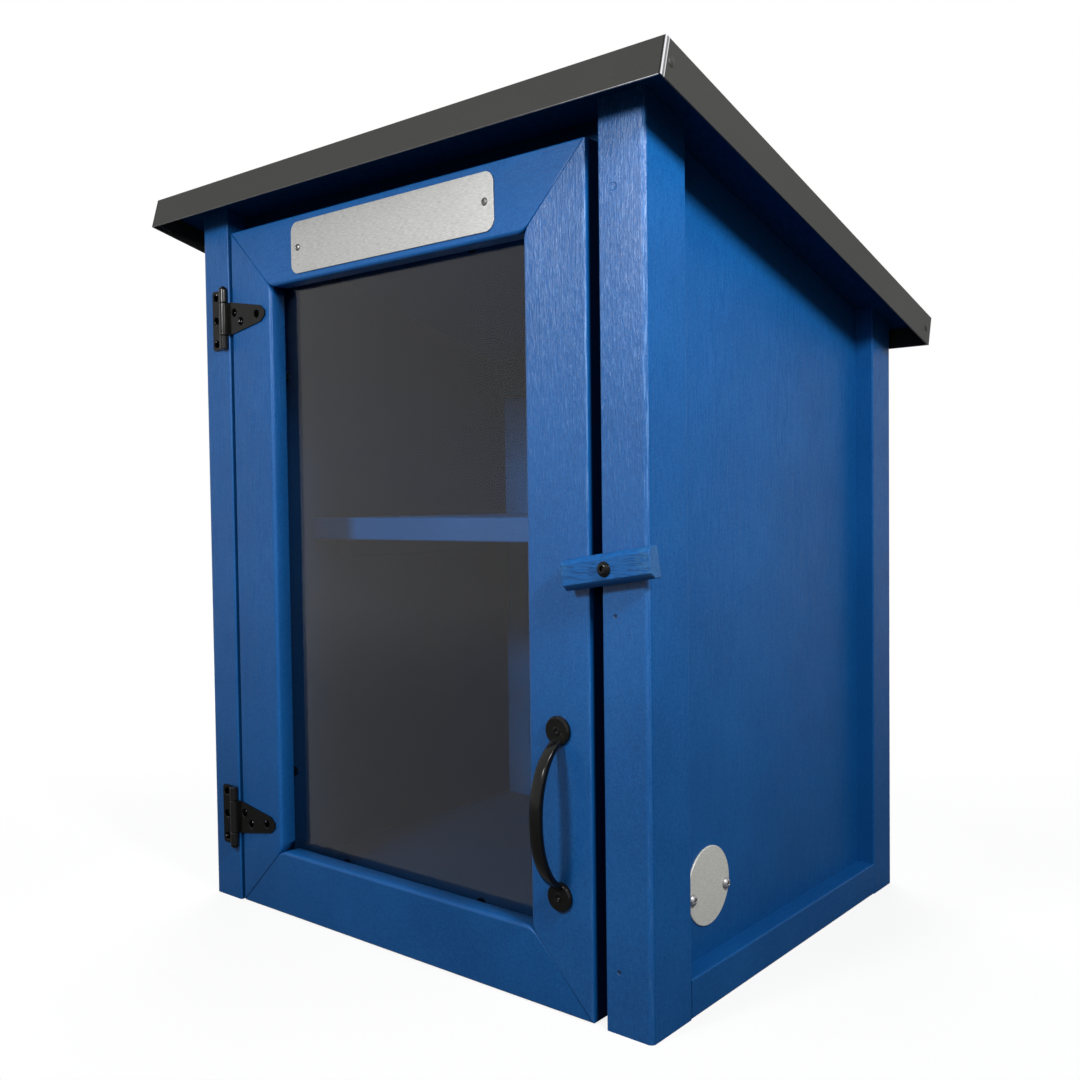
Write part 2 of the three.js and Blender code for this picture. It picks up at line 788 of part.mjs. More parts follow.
function latchScrew() {
  const face = latchStandoff + latchBarThickness + fitGap;
  const at = new THREE.Vector3(latchX, -face, latchPivotHeight);
  const head = scaled(panShares, latchHeadRadius, latchHeadHeight);
  const body = screw(head, latchScrewRadius, face + latchScrewDepth, at, frontward);
  const top = at.clone().addScaledVector(frontward, latchHeadHeight);
  return cut(body, [drill(latchHexRadius, latchHexDepth, top, frontward, hexSides)]);
}

// Pull handle
function handleEnd(end) {
  return new THREE.Vector3(handleX, 0, handleHeight + end * handleSpan / 2);
}

function handleDisc(end) {
  const profile = scaled(discShares, handleDiscRadius, handleDiscThickness);
  return turned([...profile, [0, 0]].reverse(), handleEnd(end), frontward, barrelSteps);
}

// Half of the bow, from the middle of the grip to the neck that leans into a disc
function gripCurve(end) {
  const middle = gripThickness / 2 - handleReach;
  const span = handleSpan / 2 - neckInset;
  const [straightShare, bendShare] = bowShares;
  const foot = new THREE.Vector3(0, -handleDiscThickness / 2, end * span);
  const lean = new THREE.Vector3(0, -Math.cos(neckLean), -end * Math.sin(neckLean));
  return new THREE.CubicBezierCurve3(
    new THREE.Vector3(0, middle, 0),
    new THREE.Vector3(0, middle, end * span * straightShare),
    foot.clone().addScaledVector(lean, span * bendShare),
    foot,
  );
}

// The grip is a flattened bar that narrows to a neck at each disc
function grip() {
  const rings = [];
  for (let i = -gripSteps; i <= gripSteps; i += 1) {
    const along = Math.abs(i) / gripSteps;
    const curve = gripCurve(i < 0 ? -1 : 1);
    const centre = curve.getPoint(along);
    const run = curve.getTangent(along).multiplyScalar(i < 0 ? -1 : 1);
    const out = new THREE.Vector3().crossVectors(run, axisX).normalize();
    const narrowing = THREE.MathUtils.smoothstep(along, gripFullWidthShare, 1);
    const wide = THREE.MathUtils.lerp(gripWidth, gripNeckWidth, narrowing) / 2;
    const thick = THREE.MathUtils.lerp(gripThickness, gripNeckThickness, narrowing) / 2;
    const ring = [];
    for (let k = 0; k < gripSides; k += 1) {
      const angle = (k / gripSides) * Math.PI * 2;
      const across = Math.sign(Math.cos(angle)) * Math.sqrt(Math.abs(Math.cos(angle)));
      const over = Math.sign(Math.sin(angle)) * Math.sqrt(Math.abs(Math.sin(angle)));
      ring.push(centre.clone().addScaledVector(axisX, across * wide).addScaledVector(out, over * thick));
    }
    rings.push(ring);
  }
  return skin(rings);
}

// A closed surface through rings of points, with a fan over each end
function skin(rings) {
  const sides = rings[0].length;
  const points = rings.flat();
  const index = [];
  for (let i = 0; i + 1 < rings.length; i += 1) {
    for (let k = 0; k < sides; k += 1) {
      const [a, b] = [i * sides + k, i * sides + ((k + 1) % sides)];
      index.push(a, b, b + sides, a, b + sides, a + sides);
    }
  }
  const last = (rings.length - 1) * sides;
  for (let k = 1; k + 1 < sides; k += 1) index.push(0, k + 1, k, last, last + k, last + k + 1);
  const geometry = new THREE.BufferGeometry().setFromPoints(points);
  geometry.setIndex(index);
  return geometry;
}

function pullHandle() {
  const bow = grip().translate(handleX, 0, handleHeight);
  const [wide, narrow] = [handleScrewHead + shankGap, handleScrewRadius + shankGap];
  const holes = [1, -1].map((end) => countersink(handleFace(end), wide, narrow, handleScrewCone));
  return cut(join([handleDisc(1), handleDisc(-1), bow]), holes);
}

function handleFace(end) {
  return handleEnd(end).addScaledVector(frontward, handleDiscThickness * discFaceShare);
}

function handleScrew(end) {
  const at = handleFace(end);
  const head = scaled(domeShares, handleScrewHead, handleScrewDome);
  const reach = handleScrewDepth + handleDiscThickness * discFaceShare;
  const body = screw(head, handleScrewRadius, reach, at, frontward, handleScrewCone);
  return cut(body, [drill(handleSocketRadius, handleSocketDepth, at, frontward, squareSides)]);
}

// Blank sign plate
function signScrewPlaces() {
  const reach = signWidth / 2 - signScrewInset;
  return [-reach, reach].map((x) => new THREE.Vector3(signX + x, -signThickness, signZ));
}

function signPlate() {
  const [x, z] = [signWidth / 2, signHeight / 2];
  const plate = alongY(rectangle(signX - x, signZ - z, signX + x, signZ + z, signCorner), -signThickness, 0);
  return cut(plate, signScrewPlaces().map((at) => (
    drill(plateScrewRadius + shankGap, signThickness + overrun, at, frontward)
  )));
}

function plateScrew(at) {
  const head = scaled(domeShares, plateScrewHead, plateScrewDome);
  const seat = at.clone().addScaledVector(frontward, shankGap);
  const body = screw(head, plateScrewRadius, plateScrewDepth + signThickness, seat, frontward);
  const top = seat.clone().addScaledVector(frontward, plateScrewDome);
  return cut(body, crossRecess(top, plateScrewHead, plateScrewDome * recessDepthShare));
}

// Blank round medallion, facing out from the right side panel
function medallionScrewPlaces() {
  return [-1, 1].map((end) => new THREE.Vector3(
    panelOuter + medallionThickness,
    medallionY + end * medallionScrewPitch / 2,
    medallionZ - medallionScrewDrop,
  ));
}

function medallionDisc() {
  const profile = [
    [0, 0],
    [medallionRadius, 0],
    [medallionRadius, medallionThickness - medallionChamfer],
    [medallionRadius - medallionChamfer, medallionThickness],
    [0, medallionThickness],
  ];
  const disc = turned(profile, new THREE.Vector3(panelOuter, medallionY, medallionZ), axisX, discSteps);
  return cut(disc, medallionScrewPlaces().map((at) => (
    drill(panScrewRadius + shankGap, medallionThickness + overrun, at, axisX)
  )));
}

function medallionScrew(at) {
  const head = scaled(panShares, panHead, panHeight);
  const seat = at.clone().addScaledVector(axisX, shankGap);
  const body = screw(head, panScrewRadius, panelThickness + medallionThickness, seat, axisX);
  const [long, thin] = [panHead * recessLengthShare / 2, panHead * recessWidthShare / 2];
  const floor = seat.x + panHeight * (1 - recessDepthShare);
  return cut(body, [[long, thin], [thin, long]].map(([y, z]) => block(
    [floor, seat.y - y, seat.z - z],
    [floor + overrun, seat.y + y, seat.z + z],
  )));
}

// Assembly
const hands = { left: -1, right: 1 };
for (const [hand, side] of Object.entries(hands)) {
  add(`front_post_${hand}`, frontPost(side), bluePaint);
  add(`side_panel_${hand}`, sidePanel(side), bluePaint);
  add(`side_rail_${hand}`, sideRail(side), bluePaint);
  add(`back_trim_${hand}`, backTrim(side), bluePaint);
  add(`shelf_cleat_${hand}`, shelfCleat(side), bluePaint);
  add(`roof_rivet_front_${hand}`, roofRivet(side, -1), roofMetal);
  add(`roof_rivet_back_${hand}`, roofRivet(side, 1), roofMetal);
}
add('back_panel', backPanel(), bluePaint);
add('floor_board', floorBoard(), bluePaint);
add('front_sill', frontSill(), bluePaint);
add('front_header', frontHeader(), bluePaint);
add('back_rail', backRail(), bluePaint);
add('shelf_board', shelfBoard(), bluePaint);
add('roof_deck', roofDeck(), bluePaint);
add('roof_cap', roofCap(), roofMetal);

add('door_stile_hinge', doorStile(-1), bluePaint);
add('door_stile_latch', doorStile(1), bluePaint);
add('door_rail_top', doorRail(1), bluePaint);
add('door_rail_bottom', doorRail(-1), bluePaint);
add('door_pane', doorPane(), glass);

for (const [place, level] of Object.entries(hingeLevels)) {
  add(`hinge_leaf_${place}`, hingeLeaf(level), blackIron);
  add(`hinge_strap_${place}`, hingeStrap(level), blackIron);
  add(`hinge_pin_${place}`, hingePin(level, place === 'upper' ? 1 : -1), blackIron);
  screwPlaces(level).forEach((at, i) => {
    add(`hinge_leaf_screw_${place}_${i + 1}`, hingeScrew(at), blackIron);
  });
  strapScrewPlaces(level).forEach((at, i) => {
    add(`hinge_strap_screw_${place}_${i + 1}`, hingeScrew(at), blackIron);
  });
}

add('latch_bar', latchBar(), bluePaint);
add('latch_washer', latchWasher(), steel);
add('latch_screw', latchScrew(), blackIron);

add('pull_handle', pullHandle(), blackIron);
add('handle_screw_top', handleScrew(1), blackIron);
add('handle_screw_bottom', handleScrew(-1), blackIron);

add('sign_plate', signPlate(), brightMetal);
signScrewPlaces().forEach((at, i) => {
  add(`sign_screw_${Object.keys(hands)[i]}`, plateScrew(at), steel);
});

add('medallion_disc', medallionDisc(), brightMetal);
medallionScrewPlaces().forEach((at, i) => {
  add(`medallion_screw_${['front', 'back'][i]}`, medallionScrew(at), steel);
});

export default box;
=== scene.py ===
# Street book exchange box: finishes, small fittings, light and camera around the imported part.
import json
import math

import bmesh
import bpy
from mathutils import Matrix, Vector

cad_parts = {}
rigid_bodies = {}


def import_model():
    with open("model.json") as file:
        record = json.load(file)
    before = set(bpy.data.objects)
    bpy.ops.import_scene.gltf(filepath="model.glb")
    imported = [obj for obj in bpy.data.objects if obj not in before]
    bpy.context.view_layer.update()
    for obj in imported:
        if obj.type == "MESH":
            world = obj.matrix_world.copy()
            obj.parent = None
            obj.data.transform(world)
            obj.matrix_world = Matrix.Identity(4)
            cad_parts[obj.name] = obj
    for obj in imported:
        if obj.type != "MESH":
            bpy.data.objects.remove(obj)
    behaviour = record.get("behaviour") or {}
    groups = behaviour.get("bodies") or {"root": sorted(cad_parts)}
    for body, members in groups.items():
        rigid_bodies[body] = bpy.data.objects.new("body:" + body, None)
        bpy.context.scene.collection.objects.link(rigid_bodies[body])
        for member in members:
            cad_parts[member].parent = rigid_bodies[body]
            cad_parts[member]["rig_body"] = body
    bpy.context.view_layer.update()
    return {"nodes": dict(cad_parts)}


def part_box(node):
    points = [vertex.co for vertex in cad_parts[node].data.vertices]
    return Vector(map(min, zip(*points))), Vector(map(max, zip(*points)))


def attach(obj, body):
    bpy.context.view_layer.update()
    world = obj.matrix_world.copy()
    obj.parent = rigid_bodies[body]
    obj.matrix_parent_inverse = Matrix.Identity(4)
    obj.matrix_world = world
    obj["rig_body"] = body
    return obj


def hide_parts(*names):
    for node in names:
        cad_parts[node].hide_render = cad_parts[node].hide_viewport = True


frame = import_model()
nodes = frame["nodes"]
scene = bpy.context.scene
MM = 0.001

# The cabinet's own corner: the lower front left corner of its left front post
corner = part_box("front_post_left")[0]


def at(x, y, z):
    """A place in millimetres from the cabinet's corner: right, back and up."""
    return corner + Vector((x, y, z)) * MM


# Camera, solved from the corners of the cabinet and the roof in the photograph
CAMERA_PLACE = (900.2, -608.1, 362.3)
CAMERA_RIGHT = Vector((0.7726046, 0.6347640, -0.0125190))
CAMERA_UP = Vector((-0.0113202, 0.0334883, 0.9993750))
CAMERA_FORWARD = Vector((-0.6347865, 0.7719801, -0.0330589))
FOCAL_PIXELS = 1113.64
FRAME_PIXELS = 1080
SENSOR_MM = 36
NEAREST_SEEN = 10


def make_camera():
    data = bpy.data.cameras.new("camera")
    data.sensor_width = SENSOR_MM
    data.lens = SENSOR_MM * FOCAL_PIXELS / FRAME_PIXELS
    data.clip_start = NEAREST_SEEN * MM
    camera = bpy.data.objects.new("camera", data)
    scene.collection.objects.link(camera)
    turn = Matrix((CAMERA_RIGHT, CAMERA_UP, -CAMERA_FORWARD)).transposed()
    camera.matrix_world = Matrix.Translation(at(*CAMERA_PLACE)) @ turn.to_4x4()
    scene.camera = camera


# Node trees
EVEN = (1, 1, 1)


class Finish:
    """A material or the world, with short calls that add a node and link what feeds it."""

    def __init__(self, name, holder=None):
        self.material = holder or bpy.data.materials.new(name)
        self.material.use_nodes = True
        self.tree = self.material.node_tree
        self.tree.nodes.clear()

    def add(self, kind, inputs=None, **settings):
        made = self.tree.nodes.new(kind)
        for key, value in settings.items():
            setattr(made, key, value)
        for key, value in (inputs or {}).items():
            if isinstance(value, bpy.types.NodeSocket):
                self.tree.links.new(value, made.inputs[key])
            else:
                made.inputs[key].default_value = value
        return made

    def place(self):
        return self.add("ShaderNodeTexCoord").outputs["Object"]

    def along(self, axis):
        """The place along the X, Y or Z axis, in metres. Z is the height over the floor."""
        return self.add("ShaderNodeSeparateXYZ", {"Vector": self.place()}).outputs[axis]

    def scaled(self, scale, stretch=EVEN, shift=(0, 0, 0)):
        mapped = self.add("ShaderNodeMapping", {
            "Vector": self.place(), "Location": shift,
            "Scale": [scale * share for share in stretch],
        })
        return mapped.outputs["Vector"]

    def noise(self, scale, stretch=EVEN, detail=2.0, rough=0.5, bend=0.0, shift=(0, 0, 0)):
        """Noise with so many blots to the metre, drawn out along an axis by a stretch under 1."""
        made = self.add("ShaderNodeTexNoise", {
            "Vector": self.scaled(scale, stretch, shift),
            "Scale": 1.0, "Detail": detail, "Roughness": rough, "Distortion": bend,
        })
        return made.outputs["Fac"]

    def specks(self, pitch, size, share):
        """Round spots of a size in millimetres, one in a share of the cells of a pitch."""
        cells = self.add("ShaderNodeTexVoronoi", {
            "Vector": self.scaled(1 / (pitch * MM)), "Scale": 1.0,
        })
        near = self.spread(cells.outputs["Distance"], 0.5 * size / pitch, 0.8 * size / pitch, 1, 0)
        return self.times(near, self.math("LESS_THAN", cells.outputs["Color"], share))

    def vector(self, operation, first, second=(0, 0, 0)):
        """The outputs of one step of vector arithmetic."""
        return self.add("ShaderNodeVectorMath", {0: first, 1: second}, operation=operation).outputs

    def away(self, place):
        """The distance from a place on the cabinet, in metres."""
        return self.vector("DISTANCE", self.place(), at(*place))["Value"]

    def from_upright(self, place):
        """The distance from an upright line through a place, in metres."""
        gap = self.vector("SUBTRACT", self.place(), place)["Vector"]
        flat = self.vector("MULTIPLY", gap, (1, 1, 0))["Vector"]
        return self.vector("LENGTH", flat)["Value"]

    def spread(self, value, low, high, to_low=0.0, to_high=1.0):
        """A value between low and high, carried over to another range and kept within it."""
        made = self.add("ShaderNodeMapRange", {
            "Value": value, "From Min": low, "From Max": high, "To Min": to_low, "To Max": to_high,
        })
        return made.outputs["Result"]

    def within(self, distance, reach, most=1.0, least=0.0):
        """The most up to the first of two distances in millimetres, the least from the second on."""
        return self.spread(distance, reach[0] * MM, reach[1] * MM, most, least)

    def math(self, operation, first, second=0.0):
        return self.add("ShaderNodeMath", {0: first, 1: second}, operation=operation).outputs["Value"]

    def times(self, *shares):
        product = shares[0]
        for share in shares[1:]:
            product = self.math("MULTIPLY", product, share)
        return product

    def mix(self, share, first, second):
        made = self.add("ShaderNodeMix", {0: share}, data_type="RGBA")
        for socket, value in (("A_Color", first), ("B_Color", second)):
            target = next(i for i in made.inputs if i.identifier == socket)
            if isinstance(value, bpy.types.NodeSocket):
                self.tree.links.new(value, target)
            else:
                target.default_value = (*value, 1)
        return next(o for o in made.outputs if o.identifier == "Result_Color")

    def bump(self, height, depth, below=None):
        """A normal from a height of 0 to 1 that stands for so many millimetres."""
        inputs = {"Height": height, "Distance": depth * MM, "Strength": 1.0}
        if below is not None:
            inputs["Normal"] = below
        return self.add("ShaderNodeBump", inputs).outputs["Normal"]

    def surface(self, inputs):
        shader = self.add("ShaderNodeBsdfPrincipled", inputs)
        self.add("ShaderNodeOutputMaterial", {"Surface": shader.outputs["BSDF"]})
        return self.material


# Paint on wood
PAINT = (0.006, 0.098, 0.325)
PAINT_THIN = (0.004, 0.080, 0.275)
PAINT_DEEP = (0.003, 0.062, 0.220)
PAINT_PALE = (0.012, 0.125, 0.375)
PAINT_DUST = (0.16, 0.24, 0.36)
PAINT_HIGHLIGHT = (0.10, 0.24, 0.52)
ALONG_X = (0.1, 1, 1)
ALONG_Y = (1, 0.1, 1)
ALONG_Z = (1, 1, 0.1)

# Grain to the metre, and the heights between which it comes to show
GRAIN = 520
GRAIN_FINE = 900
RAISED_LOW = 0.22
RAISED_HIGH = 0.46

# Dust: the pitch and size of the specks, and the share of the cells that hold one
DUST_SPECKS = (42, 1.1, 0.3)

# Nail holes, with painted shade in them, and a knot in the right front post
NAIL_HOLES = ((465, 0, 285.6), (465, 0, 43))
NAIL_RADIUS = 1.8
NAIL_DEPTH = 0.6
NAIL_SHADE = (0.004, 0.012, 0.03)
NAIL_SHADE_REACH = (1.0, 1.5)
KNOT = (466.6, 0, 571.7)
KNOT_RADIUS = 3.2
KNOT_DEPTH = 0.3
KNOT_SCAR_REACH = (2.2, 3.6)
DENT_FLOOR_SHARE = 0.6
DENT_WAVE = 0.4

# Painted highlights: the front edges of the right post that take pale dashes, and the heights between
# which they show
HIGHLIT_ARRISES = ((491, 0.5, 0), (443, 0.5, 0))
ARRIS_REACH = (1.6, 2.4)
HIGHLIGHT_LOW = 0.3
HIGHLIGHT_HIGH = 0.5


def painted_wood(name, grain, relief, gloss=0.42, shine=0.28, painted_light=False):
    """Satin paint brushed along a board, over the raised grain of the wood."""
    finish = Finish(name)
    streaks = finish.noise(GRAIN_FINE if painted_light else GRAIN, grain, detail=3, rough=0.6, bend=0.4)
    ridges = finish.spread(streaks, 0.42, 0.66)
    peel = finish.noise(750, detail=3)
    patchy = finish.spread(finish.noise(22, grain, detail=1), 0.38, 0.62, 0.35, 1)
    raised = finish.times(patchy, finish.spread(finish.along("Z"), RAISED_LOW, RAISED_HIGH, 0.2, 1))
    colour = paint_colour(finish, ridges, raised, peel)
    # Painted highlights on the front edges and in the grain, and painted shade in the nail holes
    if painted_light:
        colour = paint_arris_highlights(finish, colour)
        colour = paint_hole_shade(finish, colour, peel)
    normal = finish.bump(finish.times(ridges, raised), relief)
    normal = finish.bump(finish.noise(1500, grain, detail=2), 0.05, normal)
    normal = finish.bump(peel, 0.03, normal)
    return finish.surface({
        "Base Color": colour,
        "Roughness": finish.spread(streaks, 0.3, 0.7, gloss + 0.08, gloss - 0.08),
        "Normal": dent_holes(finish, normal, peel), "Specular IOR Level": shine,
    })


def paint_colour(finish, ridges, raised, peel):
    """Clouds of thin paint, thin hollows between the ridges, orange peel and dust."""
    cloud = finish.noise(14, detail=3)
    colour = finish.mix(finish.spread(cloud, 0.35, 0.7), PAINT, PAINT_THIN)
    hollows = finish.times(finish.spread(ridges, 0.35, 0), raised)
    colour = finish.mix(hollows, colour, PAINT_THIN)
    colour = finish.mix(finish.spread(peel, 0.52, 0.72, 0, 0.8), colour, PAINT_DEEP)
    colour = finish.mix(finish.spread(peel, 0.46, 0.26, 0, 0.7), colour, PAINT_PALE)
    return finish.mix(finish.specks(*DUST_SPECKS), colour, PAINT_DUST)


def paint_arris_highlights(finish, colour):
    """Painted highlights: pale broken lines down the front edges of a board, and short ones in its
    grain, stronger towards the top.
    """
    dashes = finish.spread(finish.noise(700, (1, 1, 0.06), detail=2), 0.5, 0.62)
    high = finish.spread(finish.along("Z"), HIGHLIGHT_LOW, HIGHLIGHT_HIGH, 0.15, 1)
    for place in HIGHLIT_ARRISES:
        near = finish.within(finish.from_upright(at(*place)), ARRIS_REACH, 0.9)
        colour = finish.mix(finish.times(near, dashes, high), colour, PAINT_HIGHLIGHT)
    short = finish.noise(1100, (1, 1, 0.09), detail=2, shift=(3, 5, 7))
    lines = finish.spread(short, 0.6, 0.72, 0, 0.6)
    return finish.mix(finish.times(lines, high), colour, PAINT_HIGHLIGHT)


def paint_hole_shade(finish, colour, peel):
    """Painted shade in the nail holes, and deep paint in the knot's scar."""
    for place in NAIL_HOLES:
        # Painted shade in each nail hole
        hole = finish.within(finish.away(place), NAIL_SHADE_REACH, 0.85)
        colour = finish.mix(hole, colour, NAIL_SHADE)
    scar = finish.within(finish.away(KNOT), KNOT_SCAR_REACH, 0.5)
    return finish.mix(finish.times(scar, finish.spread(peel, 0.4, 0.6)), colour, PAINT_DEEP)


def dent_holes(finish, normal, peel):
    """The dents of the nail holes and the knot, with uneven rims."""
    wave = finish.times(finish.spread(peel, 0.2, 0.8, -DENT_WAVE, DENT_WAVE), MM)
    dents = [(place, NAIL_RADIUS, NAIL_DEPTH) for place in NAIL_HOLES]
    dents.append((KNOT, KNOT_RADIUS, KNOT_DEPTH))
    for place, radius, depth in dents:
        near = finish.math("ADD", finish.away(place), wave)
        dent = finish.spread(near, DENT_FLOOR_SHARE * radius * MM, radius * MM)
        normal = finish.bump(dent, depth, normal)
    return normal


# The latch bar's worn ends, and how far the wear reaches from them
LATCH_END = (504.7, -9, 323)
LATCH_END_REACH = (11, 19)
LATCH_CHIP = (428.5, -9, 316)
LATCH_CHIP_REACH = (3, 9)
LATCH_WORN = (0.05, 0.16, 0.30)


def worn_latch():
    """The latch bar: cracked paint along the grain, rubbed thin and pale at its ends."""
    finish = Finish("latch_paint")
    cracks = finish.noise(1500, (0.06, 1, 1), detail=3, rough=0.7, bend=0.2)
    rub = finish.noise(300, detail=3)
    split = finish.spread(cracks, 0.34, 0.48)
    end = finish.within(finish.away(LATCH_END), LATCH_END_REACH)
    chip = finish.within(finish.away(LATCH_CHIP), LATCH_CHIP_REACH)
    worn = finish.times(finish.math("MAXIMUM", end, chip), finish.spread(rub, 0.38, 0.6), 0.4)
    colour = finish.mix(split, PAINT_DEEP, PAINT)
    colour = finish.mix(finish.spread(rub, 0.5, 0.75, 0, 0.3), colour, PAINT_PALE)
    colour = finish.mix(worn, colour, LATCH_WORN)
    normal = finish.bump(split, 0.25)
    return finish.surface({
        "Base Color": colour, "Roughness": finish.spread(rub, 0.3, 0.7, 0.4, 0.55),
        "Normal": finish.bump(rub, 0.06, normal), "Specular IOR Level": 0.28,
    })


# Dark coats as painted shade, under the roof and inside: the two colours between which their streaks
# run
UNDER_ROOF_SHADE = ((0.002, 0.030, 0.110), (0.003, 0.045, 0.150))
INSIDE = ((0.004, 0.026, 0.085), (0.006, 0.034, 0.105))
INSIDE_BACK = ((0.008, 0.085, 0.270), (0.012, 0.105, 0.320))
INSIDE_DUST = (0.012, 0.030, 0.070)


def shaded_wood():
    """The deck's paint under the overhang, darkened as painted shade and dull."""
    finish = Finish("paint_under_roof_shaded")
    streaks = finish.noise(500, ALONG_Y, detail=3)
    return finish.surface({
        "Base Color": finish.mix(finish.spread(streaks, 0.3, 0.7), *UNDER_ROOF_SHADE), "Roughness": 0.8,
        "Normal": finish.bump(streaks, 0.1), "Specular IOR Level": 0.03,
    })


def inside_wood(name, colours):
    """One thin, dusty coat inside the cabinet, darkened as painted shade."""
    finish = Finish(name)
    streaks = finish.noise(400, ALONG_X, detail=3)
    cloud = finish.noise(10, detail=3)
    colour = finish.mix(finish.spread(streaks, 0.3, 0.7), *colours)
    colour = finish.mix(finish.spread(cloud, 0.45, 0.8, 0, 0.6), colour, INSIDE_DUST)
    return finish.surface({
        "Base Color": colour, "Roughness": 0.7, "Normal": finish.bump(streaks, 0.08),
        "Specular IOR Level": 0.04,
    })


# Painted shade on the door's latch edge in the gap, by the distance behind its front face
EDGE_PAINTED = 3.5
EDGE_SHADE_FULL = 6
EDGE_SHADE = (0.003, 0.016, 0.055)


def edge_in_gap():
    """The door's latch edge, with full paint at the front and painted shade behind."""
    finish = Finish("painted_shade_edge")
    streaks = finish.noise(500, ALONG_Z, detail=3)
    front = at(0, 0, 0).y
    shade_share = finish.spread(finish.along("Y"), front + EDGE_PAINTED * MM, front + EDGE_SHADE_FULL * MM)
    full = finish.mix(finish.spread(streaks, 0.3, 0.7), PAINT, PAINT_THIN)
    return finish.surface({
        "Base Color": finish.mix(shade_share, full, EDGE_SHADE), "Roughness": 0.6,
        "Normal": finish.bump(streaks, 0.08), "Specular IOR Level": 0.05,
    })


# The roof sheet: its coat, and where it is bare
COAT = ((0.017, 0.017, 0.0155), (0.021, 0.021, 0.019))
COAT_SPECKLE = (0.040, 0.039, 0.036)
COAT_WIPED = (0.032, 0.031, 0.030)
BARE_FOLD = (0.50, 0.50, 0.52)
EDGE_COAT = (0.02, 0.02, 0.02)
EDGE_METAL = ((0.38, 0.38, 0.40), (0.62, 0.62, 0.64))
CAP_SIDE = 279.3 * MM
CAP_SIDE_SKIN = 0.3
CAP_FRONT = at(0, -24.9, 647.3)
ROOF_SLOPE = math.radians(15)
DOWN_ROOF = (0, math.cos(ROOF_SLOPE), -math.sin(ROOF_SLOPE))
FIRST_LINE = (1.2, 1.7)
SECOND_LINE = (3.4, 4.3)
BARE_CORNER = (525, -25, 610)
BARE_CORNER_REACH = (20, 120)


def powder_coat():
    """Dark warm grey coat with a fine speckle and a little dust."""
    finish = Finish("roof_coat")
    fine = finish.noise(1500, detail=1)
    cloud = finish.noise(9, detail=4)
    wipe = finish.noise(60, (0.2, 1, 1), detail=3)
    colour = finish.mix(finish.spread(cloud, 0.3, 0.7), *COAT)
    colour = finish.mix(finish.spread(fine, 0.58, 0.72, 0, 0.5), colour, COAT_SPECKLE)
    colour = finish.mix(finish.spread(wipe, 0.6, 0.85, 0, 0.35), colour, COAT_WIPED)
    colour = finish.mix(bare_fold(finish), colour, BARE_FOLD)
    return finish.surface({
        "Base Color": colour, "Roughness": finish.spread(cloud, 0.3, 0.7, 0.51, 0.57),
        "Normal": finish.bump(fine, 0.03), "Specular IOR Level": 0.25,
    })


def bare_fold(finish):
    """Where the coat has come off the side flanges, in two lines beside the front slits."""
    across = finish.math("ABSOLUTE", finish.along("X"))
    outside = finish.math("GREATER_THAN", across, CAP_SIDE - CAP_SIDE_SKIN * MM)
    reach = finish.vector("SUBTRACT", finish.place(), CAP_FRONT)["Vector"]
    back = finish.vector("DOT_PRODUCT", reach, DOWN_ROOF)["Value"]
    first = finish.within(back, FIRST_LINE, 1, 0.2)
    second = finish.times(finish.math("GREATER_THAN", back, SECOND_LINE[0] * MM), 0.8)
    near = finish.math("LESS_THAN", back, SECOND_LINE[1] * MM)
    return finish.times(finish.math("MAXIMUM", first, second), near, outside)


def cut_edge():
    """Edges of the roof sheet, bare round the front right corner and half coated elsewhere."""
    finish = Finish("cut_edge")
    fine = finish.noise(900, detail=2)
    patchy = finish.spread(finish.noise(90, detail=2), 0.35, 0.65, 0.5, 1)
    near = finish.within(finish.away(BARE_CORNER), BARE_CORNER_REACH, 0.8, 0.14)
    bare = finish.times(near, patchy)
    return finish.surface({
        "Base Color": finish.mix(bare, EDGE_COAT, finish.mix(fine, *EDGE_METAL)),
        "Metallic": finish.times(bare, 0.8), "Roughness": finish.spread(fine, 0.3, 0.7, 0.35, 0.55),
    })


# Black and bronze fittings
HINGE_BLACK = (0.005, 0.005, 0.0045)
SCREW_BLACK = (0.0015, 0.0015, 0.0015)
BUTTON_BLACK = (0.004, 0.004, 0.004)
BLACK_RELIEF = 0.01
WORN_BLACK_GAIN = 1.9
PIN = sum(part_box("hinge_pin_upper"), Vector()) / 2
BARREL_REACH = (3.4, 3.9)
BARREL_METAL = (0.04, 0.04, 0.04)
PAINTED_GLINT_SPECKS = (3, 1.2, 0.35)
PAINTED_GLINT_METAL = (0.45, 0.45, 0.45)
BRONZE = (0.004, 0.004, 0.0035)
COPPER = (0.62, 0.26, 0.11)
GRIP_FOOT = (436, -30, 97)
GRIP_FOOT_REACH = (4, 16)


def black_coat(name, colour, gloss, level, glints=False):
    """Black coat with a polished line round the hinge pins, or with painted glints: bright metal
    specks.
    """
    finish = Finish(name)
    peel = finish.noise(700, detail=2)
    cloud = finish.noise(90, detail=3)
    worn = [min(1, WORN_BLACK_GAIN * share) for share in colour]
    coat = finish.mix(finish.spread(cloud, 0.5, 0.75), colour, worn)
    if glints:
        # Painted glints: bright metal specks on the screws
        bare = finish.specks(*PAINTED_GLINT_SPECKS)
    else:
        bare = finish.within(finish.from_upright(PIN), BARREL_REACH, 0.9)
    return finish.surface({
        "Base Color": finish.mix(bare, coat, PAINTED_GLINT_METAL if glints else BARREL_METAL),
        "Metallic": bare, "Roughness": finish.spread(cloud, 0.3, 0.7, gloss - 0.05, gloss + 0.08),
        "Normal": finish.bump(peel, BLACK_RELIEF), "Specular IOR Level": level,
    })


